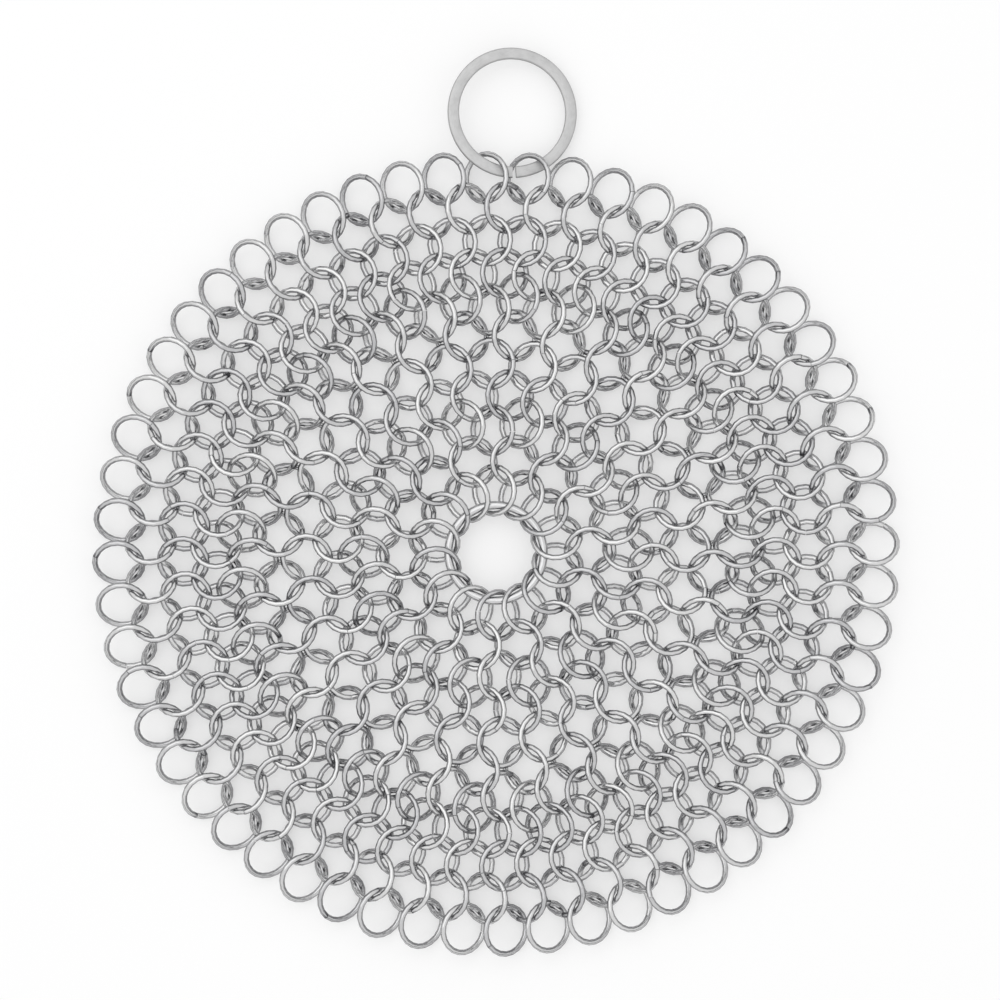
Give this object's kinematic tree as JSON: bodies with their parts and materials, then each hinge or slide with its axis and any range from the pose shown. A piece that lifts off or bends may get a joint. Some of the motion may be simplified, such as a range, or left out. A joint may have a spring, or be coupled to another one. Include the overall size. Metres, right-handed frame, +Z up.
{
  "type": "pot scrubber",
  "caption": "Round chain-mail pot scrubber of small interlinked wire rings round a thicker centre ring, with a larger flat-wire ring at the rim to hang it by.",
  "frame": {"origin": "on the centre ring's axis, at the height of the lowest wire, where the disc lies on a flat surface", "axes": "+Z up out of the lying disc, +Y out through the rim between the carrier rings to the hanging ring, +X to the right seen from above"},
  "size_m": [0.18, 0.2025, 0.0073],
  "materials": {
    "mail_wire": "polished",
    "centre_wire": "polished",
    "hanging_wire": "satin"
  },
  "bodies": {
    "hub": {"centre_ring": "centre_wire", "row_1_rings": "mail_wire", "row_2_rings": "mail_wire", "row_3_rings": "mail_wire"},
    "inner_panel_01": {"inner_panel_01_rings": "mail_wire"},
    "inner_panel_02": {"inner_panel_02_rings": "mail_wire"},
    "inner_panel_03": {"inner_panel_03_rings": "mail_wire"},
    "inner_panel_04": {"inner_panel_04_rings": "mail_wire"},
    "inner_panel_05": {"inner_panel_05_rings": "mail_wire"},
    "inner_panel_06": {"inner_panel_06_rings": "mail_wire"},
    "inner_panel_07": {"inner_panel_07_rings": "mail_wire"},
    "inner_panel_08": {"inner_panel_08_rings": "mail_wire"},
    "inner_panel_09": {"inner_panel_09_rings": "mail_wire"},
    "inner_panel_10": {"inner_panel_10_rings": "mail_wire"},
    "inner_panel_11": {"inner_panel_11_rings": "mail_wire"},
    "inner_panel_12": {"inner_panel_12_rings": "mail_wire"},
    "inner_panel_13": {"inner_panel_13_rings": "mail_wire"},
    "inner_panel_14": {"inner_panel_14_rings": "mail_wire"},
    "outer_panel_01": {"outer_panel_01_rings": "mail_wire"},
    "outer_panel_02": {"outer_panel_02_rings": "mail_wire"},
    "outer_panel_03": {"outer_panel_03_rings": "mail_wire"},
    "outer_panel_04": {"outer_panel_04_rings": "mail_wire"},
    "outer_panel_05": {"outer_panel_05_rings": "mail_wire"},
    "outer_panel_06": {"outer_panel_06_rings": "mail_wire"},
    "outer_panel_07": {"outer_panel_07_rings": "mail_wire"},
    "outer_panel_08": {"outer_panel_08_rings": "mail_wire"},
    "outer_panel_09": {"outer_panel_09_rings": "mail_wire"},
    "outer_panel_10": {"outer_panel_10_rings": "mail_wire"},
    "outer_panel_11": {"outer_panel_11_rings": "mail_wire"},
    "outer_panel_12": {"outer_panel_12_rings": "mail_wire"},
    "outer_panel_13": {"outer_panel_13_rings": "mail_wire"},
    "outer_panel_14": {"outer_panel_14_rings": "mail_wire"},
    "left_carrier": {"left_carrier_ring": "mail_wire"},
    "right_carrier": {"right_carrier_ring": "mail_wire"},
    "hanging_ring": {"hanging_ring": "hanging_wire"}
  },
  "joints": [
    {"name": "inner_bend_01", "type": "hinge", "parent": "hub", "child": "inner_panel_01", "pos_m": [0.00232, 0.0328, 0.00365], "axis": [0.9975, -0.0706, 0], "range_deg": [-12, 12]},
    {"name": "inner_bend_02", "type": "hinge", "parent": "hub", "child": "inner_panel_02", "pos_m": [0.01632, 0.02854, 0.00365], "axis": [0.8681, -0.4964, 0], "range_deg": [-12, 12]},
    {"name": "inner_bend_03", "type": "hinge", "parent": "hub", "child": "inner_panel_03", "pos_m": [0.02709, 0.01863, 0.00365], "axis": [0.5667, -0.8239, 0], "range_deg": [-12, 12]},
    {"name": "inner_bend_04", "type": "hinge", "parent": "hub", "child": "inner_panel_04", "pos_m": [0.03249, 0.00503, 0.00365], "axis": [0.1531, -0.9882, 0], "range_deg": [-12, 12]},
    {"name": "inner_bend_05", "type": "hinge", "parent": "hub", "child": "inner_panel_05", "pos_m": [0.03146, -0.00956, 0.00365], "axis": [-0.2908, -0.9568, 0], "range_deg": [-12, 12]},
    {"name": "inner_bend_06", "type": "hinge", "parent": "hub", "child": "inner_panel_06", "pos_m": [0.02419, -0.02226, 0.00365], "axis": [-0.6772, -0.7358, 0], "range_deg": [-12, 12]},
    {"name": "inner_bend_07", "type": "hinge", "parent": "hub", "child": "inner_panel_07", "pos_m": [0.01214, -0.03055, 0.00365], "axis": [-0.9294, -0.3692, 0], "range_deg": [-12, 12]},
    {"name": "inner_bend_08", "type": "hinge", "parent": "hub", "child": "inner_panel_08", "pos_m": [-0.00232, -0.0328, 0.00365], "axis": [-0.9975, 0.0706, 0], "range_deg": [-12, 12]},
    {"name": "inner_bend_09", "type": "hinge", "parent": "hub", "child": "inner_panel_09", "pos_m": [-0.01632, -0.02854, 0.00365], "axis": [-0.8681, 0.4964, 0], "range_deg": [-12, 12]},
    {"name": "inner_bend_10", "type": "hinge", "parent": "hub", "child": "inner_panel_10", "pos_m": [-0.02709, -0.01863, 0.00365], "axis": [-0.5667, 0.8239, 0], "range_deg": [-12, 12]},
    {"name": "inner_bend_11", "type": "hinge", "parent": "hub", "child": "inner_panel_11", "pos_m": [-0.03249, -0.00503, 0.00365], "axis": [-0.1531, 0.9882, 0], "range_deg": [-12, 12]},
    {"name": "inner_bend_12", "type": "hinge", "parent": "hub", "child": "inner_panel_12", "pos_m": [-0.03146, 0.00956, 0.00365], "axis": [0.2908, 0.9568, 0], "range_deg": [-12, 12]},
    {"name": "inner_bend_13", "type": "hinge", "parent": "hub", "child": "inner_panel_13", "pos_m": [-0.02419, 0.02226, 0.00365], "axis": [0.6772, 0.7358, 0], "range_deg": [-12, 12]},
    {"name": "inner_bend_14", "type": "hinge", "parent": "hub", "child": "inner_panel_14", "pos_m": [-0.01214, 0.03055, 0.00365], "axis": [0.9294, 0.3692, 0], "range_deg": [-12, 12]},
    {"name": "outer_bend_01", "type": "hinge", "parent": "inner_panel_01", "child": "outer_panel_01", "pos_m": [0.00389, 0.05971, 0.00365], "axis": [0.9979, -0.065, 0], "range_deg": [-12, 12]},
    {"name": "outer_bend_02", "type": "hinge", "parent": "inner_panel_02", "child": "outer_panel_02", "pos_m": [0.02941, 0.05211, 0.00365], "axis": [0.8708, -0.4916, 0], "range_deg": [-12, 12]},
    {"name": "outer_bend_03", "type": "hinge", "parent": "inner_panel_03", "child": "outer_panel_03", "pos_m": [0.04911, 0.03419, 0.00365], "axis": [0.5713, -0.8207, 0], "range_deg": [-12, 12]},
    {"name": "outer_bend_04", "type": "hinge", "parent": "inner_panel_04", "child": "outer_panel_04", "pos_m": [0.05908, 0.00949, 0.00365], "axis": [0.1586, -0.9873, 0], "range_deg": [-12, 12]},
    {"name": "outer_bend_05", "type": "hinge", "parent": "inner_panel_05", "child": "outer_panel_05", "pos_m": [0.05735, -0.01708, 0.00365], "axis": [-0.2854, -0.9584, 0], "range_deg": [-12, 12]},
    {"name": "outer_bend_06", "type": "hinge", "parent": "inner_panel_06", "child": "outer_panel_06", "pos_m": [0.04426, -0.04027, 0.00365], "axis": [-0.673, -0.7396, 0], "range_deg": [-12, 12]},
    {"name": "outer_bend_07", "type": "hinge", "parent": "inner_panel_07", "child": "outer_panel_07", "pos_m": [0.0224, -0.05548, 0.00365], "axis": [-0.9273, -0.3744, 0], "range_deg": [-12, 12]},
    {"name": "outer_bend_08", "type": "hinge", "parent": "inner_panel_08", "child": "outer_panel_08", "pos_m": [-0.00389, -0.05971, 0.00365], "axis": [-0.9979, 0.065, 0], "range_deg": [-12, 12]},
    {"name": "outer_bend_09", "type": "hinge", "parent": "inner_panel_09", "child": "outer_panel_09", "pos_m": [-0.02941, -0.05211, 0.00365], "axis": [-0.8708, 0.4916, 0], "range_deg": [-12, 12]},
    {"name": "outer_bend_10", "type": "hinge", "parent": "inner_panel_10", "child": "outer_panel_10", "pos_m": [-0.04911, -0.03419, 0.00365], "axis": [-0.5713, 0.8207, 0], "range_deg": [-12, 12]},
    {"name": "outer_bend_11", "type": "hinge", "parent": "inner_panel_11", "child": "outer_panel_11", "pos_m": [-0.05908, -0.00949, 0.00365], "axis": [-0.1586, 0.9873, 0], "range_deg": [-12, 12]},
    {"name": "outer_bend_12", "type": "hinge", "parent": "inner_panel_12", "child": "outer_panel_12", "pos_m": [-0.05735, 0.01708, 0.00365], "axis": [0.2854, 0.9584, 0], "range_deg": [-12, 12]},
    {"name": "outer_bend_13", "type": "hinge", "parent": "inner_panel_13", "child": "outer_panel_13", "pos_m": [-0.04426, 0.04027, 0.00365], "axis": [0.673, 0.7396, 0], "range_deg": [-12, 12]},
    {"name": "outer_bend_14", "type": "hinge", "parent": "inner_panel_14", "child": "outer_panel_14", "pos_m": [-0.0224, 0.05548, 0.00365], "axis": [0.9273, 0.3744, 0], "range_deg": [-12, 12]},
    {"name": "hanging_swing", "type": "hinge", "parent": "outer_panel_01", "child": "hanging_ring", "pos_m": [0.00485, 0.08634, 0.00375], "axis": [0.9984, -0.0561, 0], "range_deg": [0, 50]},
    {"name": "left_carrier_roll", "type": "hinge", "parent": "outer_panel_01", "child": "left_carrier", "pos_m": [0, 0.08367, 0.00365], "axis": [0, -1, 0], "range_deg": [0, 13]},
    {"name": "right_carrier_roll", "type": "hinge", "parent": "outer_panel_01", "child": "right_carrier", "pos_m": [0.00937, 0.08315, 0.00365], "axis": [-0.112, -0.9937, 0], "range_deg": [0, 13]}
  ],
  "couplings": [
    {"joint": "inner_bend_02", "follows": "inner_bend_01", "ratio": 1},
    {"joint": "inner_bend_03", "follows": "inner_bend_01", "ratio": 1},
    {"joint": "inner_bend_04", "follows": "inner_bend_01", "ratio": 1},
    {"joint": "inner_bend_05", "follows": "inner_bend_01", "ratio": 1},
    {"joint": "inner_bend_06", "follows": "inner_bend_01", "ratio": 1},
    {"joint": "inner_bend_07", "follows": "inner_bend_01", "ratio": 1},
    {"joint": "inner_bend_08", "follows": "inner_bend_01", "ratio": 1},
    {"joint": "inner_bend_09", "follows": "inner_bend_01", "ratio": 1},
    {"joint": "inner_bend_10", "follows": "inner_bend_01", "ratio": 1},
    {"joint": "inner_bend_11", "follows": "inner_bend_01", "ratio": 1},
    {"joint": "inner_bend_12", "follows": "inner_bend_01", "ratio": 1},
    {"joint": "inner_bend_13", "follows": "inner_bend_01", "ratio": 1},
    {"joint": "inner_bend_14", "follows": "inner_bend_01", "ratio": 1},
    {"joint": "outer_bend_02", "follows": "outer_bend_01", "ratio": 1},
    {"joint": "outer_bend_03", "follows": "outer_bend_01", "ratio": 1},
    {"joint": "outer_bend_04", "follows": "outer_bend_01", "ratio": 1},
    {"joint": "outer_bend_05", "follows": "outer_bend_01", "ratio": 1},
    {"joint": "outer_bend_06", "follows": "outer_bend_01", "ratio": 1},
    {"joint": "outer_bend_07", "follows": "outer_bend_01", "ratio": 1},
    {"joint": "outer_bend_08", "follows": "outer_bend_01", "ratio": 1},
    {"joint": "outer_bend_09", "follows": "outer_bend_01", "ratio": 1},
    {"joint": "outer_bend_10", "follows": "outer_bend_01", "ratio": 1},
    {"joint": "outer_bend_11", "follows": "outer_bend_01", "ratio": 1},
    {"joint": "outer_bend_12", "follows": "outer_bend_01", "ratio": 1},
    {"joint": "outer_bend_13", "follows": "outer_bend_01", "ratio": 1},
    {"joint": "outer_bend_14", "follows": "outer_bend_01", "ratio": 1},
    {"joint": "left_carrier_roll", "follows": "hanging_swing", "ratio": 0.25},
    {"joint": "right_carrier_roll", "follows": "hanging_swing", "ratio": 0.25}
  ]
}
